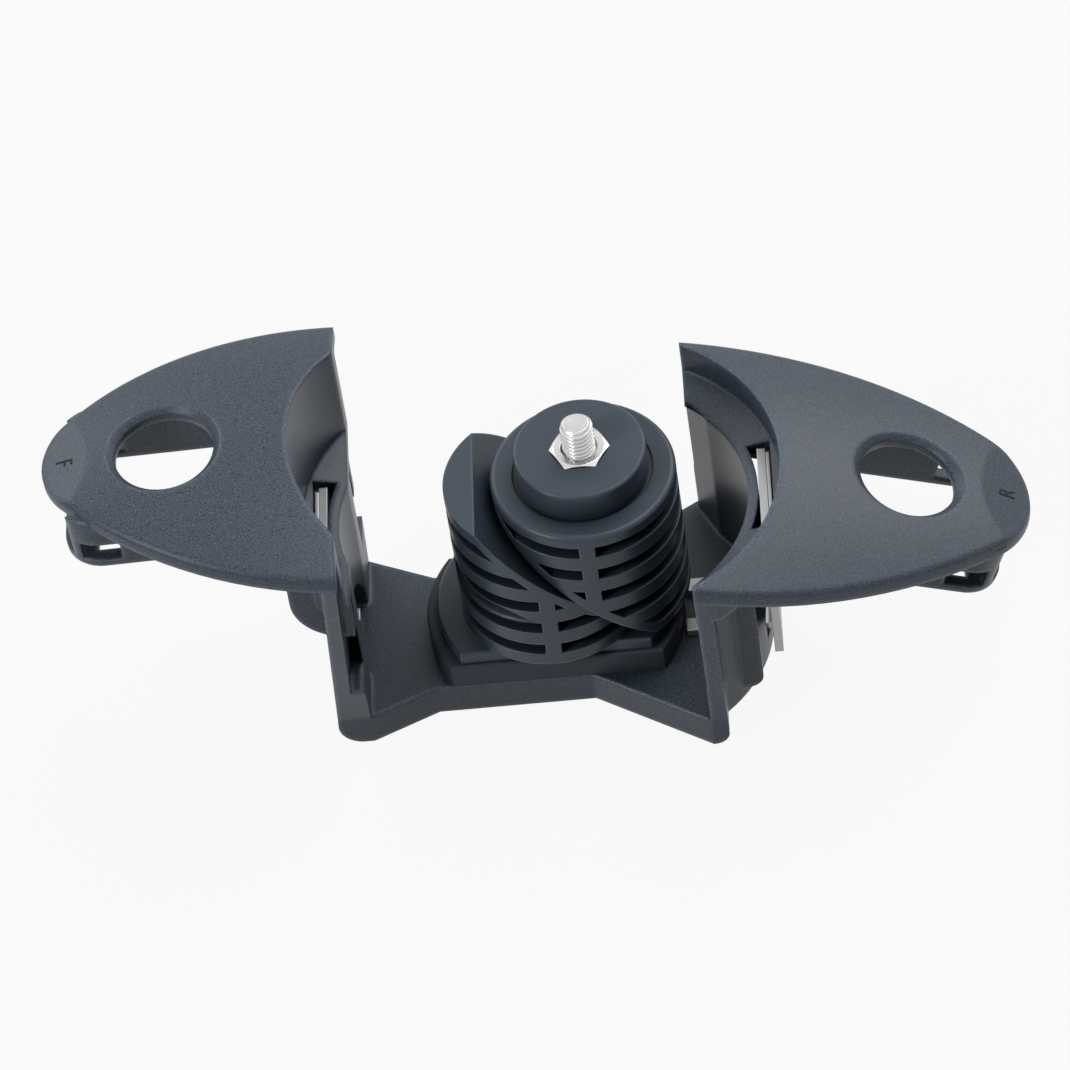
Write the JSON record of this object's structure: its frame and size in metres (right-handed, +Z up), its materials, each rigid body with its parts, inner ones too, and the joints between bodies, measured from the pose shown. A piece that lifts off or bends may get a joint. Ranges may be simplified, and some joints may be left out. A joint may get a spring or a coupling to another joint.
{
  "type": "mudguard mount",
  "caption": "Bracket with a crowned wing at each end and an expanding wedge plug that clamps it under a bicycle fork crown, to carry a mudguard before and behind the fork.",
  "frame": {"origin": "on the axis of the lower wedge of the plug, at the underside of the base plate", "axes": "+Z up along the plug, +X towards the rear wing, -X towards the front wing"},
  "size_m": [0.1462, 0.0514, 0.0537],
  "materials": {
    "bracket_plastic": "fine spark-eroded texture, dark blue-grey",
    "plug_plastic": "smooth satin, near black",
    "pad_rubber": "matte black",
    "bolt_steel": "bright turned stainless steel",
    "spring_steel": "bright rolled spring strip"
  },
  "bodies": {
    "frame": {"bracket": "bracket_plastic", "seat_pad": "pad_rubber", "lower_wedge": "plug_plastic", "front_clip": "spring_steel", "rear_clip": "spring_steel"},
    "washer": {"slide_washer": "bolt_steel"},
    "bolt": {"clamp_bolt": "bolt_steel"},
    "disc": {"clamp_disc": "plug_plastic", "hex_nut": "bolt_steel"},
    "wedge": {"upper_wedge": "plug_plastic"}
  },
  "joints": [
    {"name": "washer_slide", "type": "slide", "parent": "frame", "child": "washer", "axis": [1, 0, 0], "range_m": [-0.00482, 0.00162]},
    {"name": "bolt_turn", "type": "hinge", "parent": "washer", "child": "bolt", "pos_m": [0.0072, 0, 0], "axis": [0, 0, 1], "range_deg": [-2160, 720]},
    {"name": "disc_slide", "type": "slide", "parent": "washer", "child": "disc", "axis": [0, 0, -1], "range_m": [-0.00482, 0.00162]},
    {"name": "wedge_slide", "type": "slide", "parent": "frame", "child": "wedge", "axis": [0.7071, 0, -0.7071], "range_m": [-0.00679, 0.00226]}
  ],
  "couplings": [
    {"joint": "washer_slide", "follows": "wedge_slide", "ratio": 0.70711},
    {"joint": "disc_slide", "follows": "wedge_slide", "ratio": 0.70711},
    {"joint": "bolt_turn", "follows": "wedge_slide", "rad_per_m": 5553.6}
  ]
}
